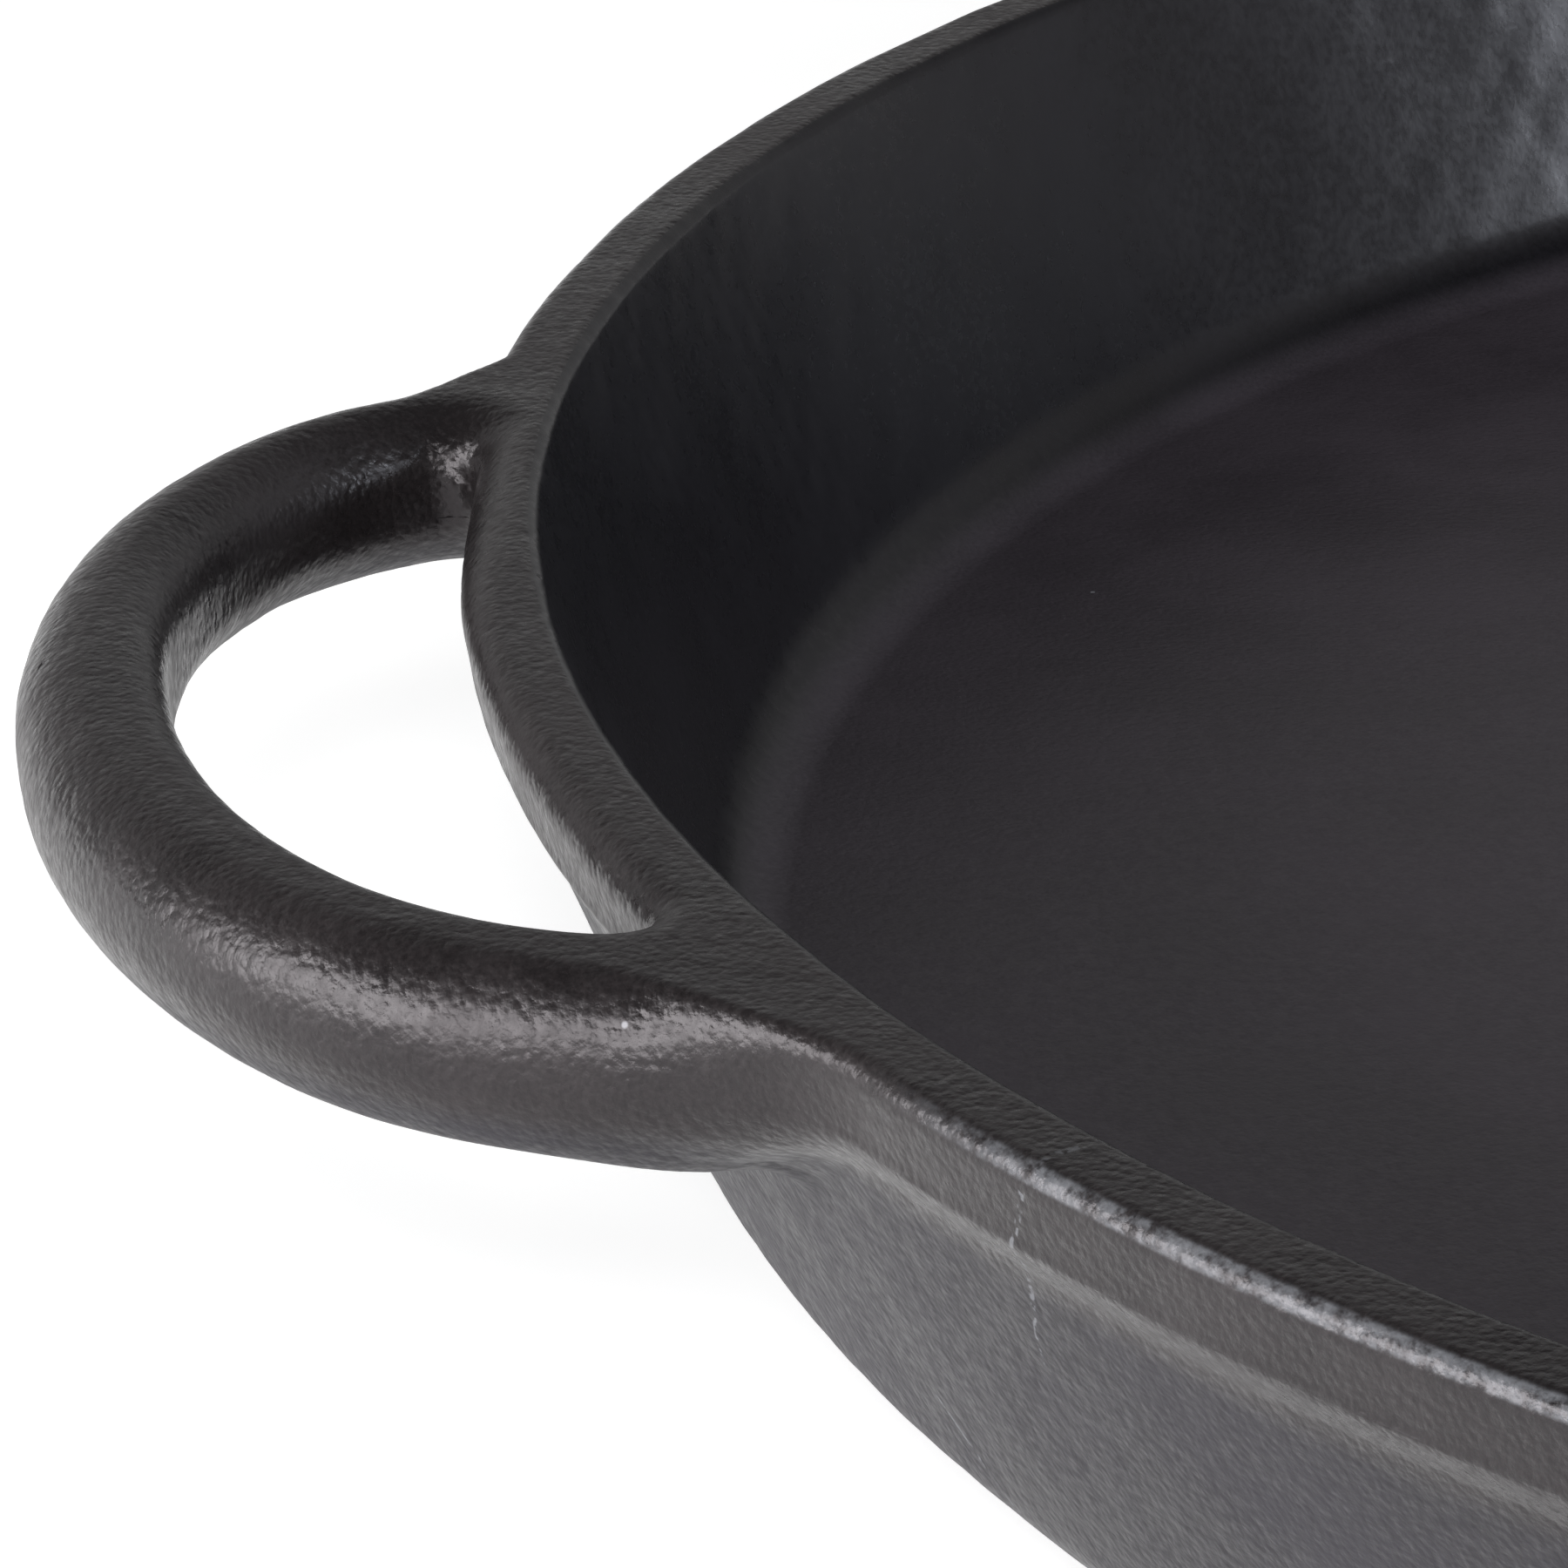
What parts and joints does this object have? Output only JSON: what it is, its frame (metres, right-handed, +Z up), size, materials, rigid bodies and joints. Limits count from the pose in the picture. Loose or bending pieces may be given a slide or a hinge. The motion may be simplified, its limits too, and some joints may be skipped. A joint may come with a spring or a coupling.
{
  "type": "cast iron skillet",
  "caption": "Wide shallow cast iron skillet with a flat cooking floor, flared wall, loop helper handle, long handle with hanging hole and two pour lips.",
  "frame": {"origin": "centre of the underside, on the surface the skillet rests on", "axes": "+Z up, +X towards the long handle, -X towards the loop handle, +Y and -Y towards the pour lips"},
  "size_m": [0.575, 0.414, 0.045],
  "materials": {
    "seasoned_iron": "sand-cast pebbled skin, oil seasoned, satin black with a sheen",
    "cooking_iron": "finer pebbled cooking face, oil seasoned, satin black"
  },
  "bodies": {
    "root": {"cooking_floor": "cooking_iron", "side_wall": "seasoned_iron", "rim_band": "seasoned_iron", "loop_handle": "seasoned_iron", "long_handle": "seasoned_iron", "pour_lip_left": "seasoned_iron", "pour_lip_right": "seasoned_iron"}
  },
  "joints": []
}
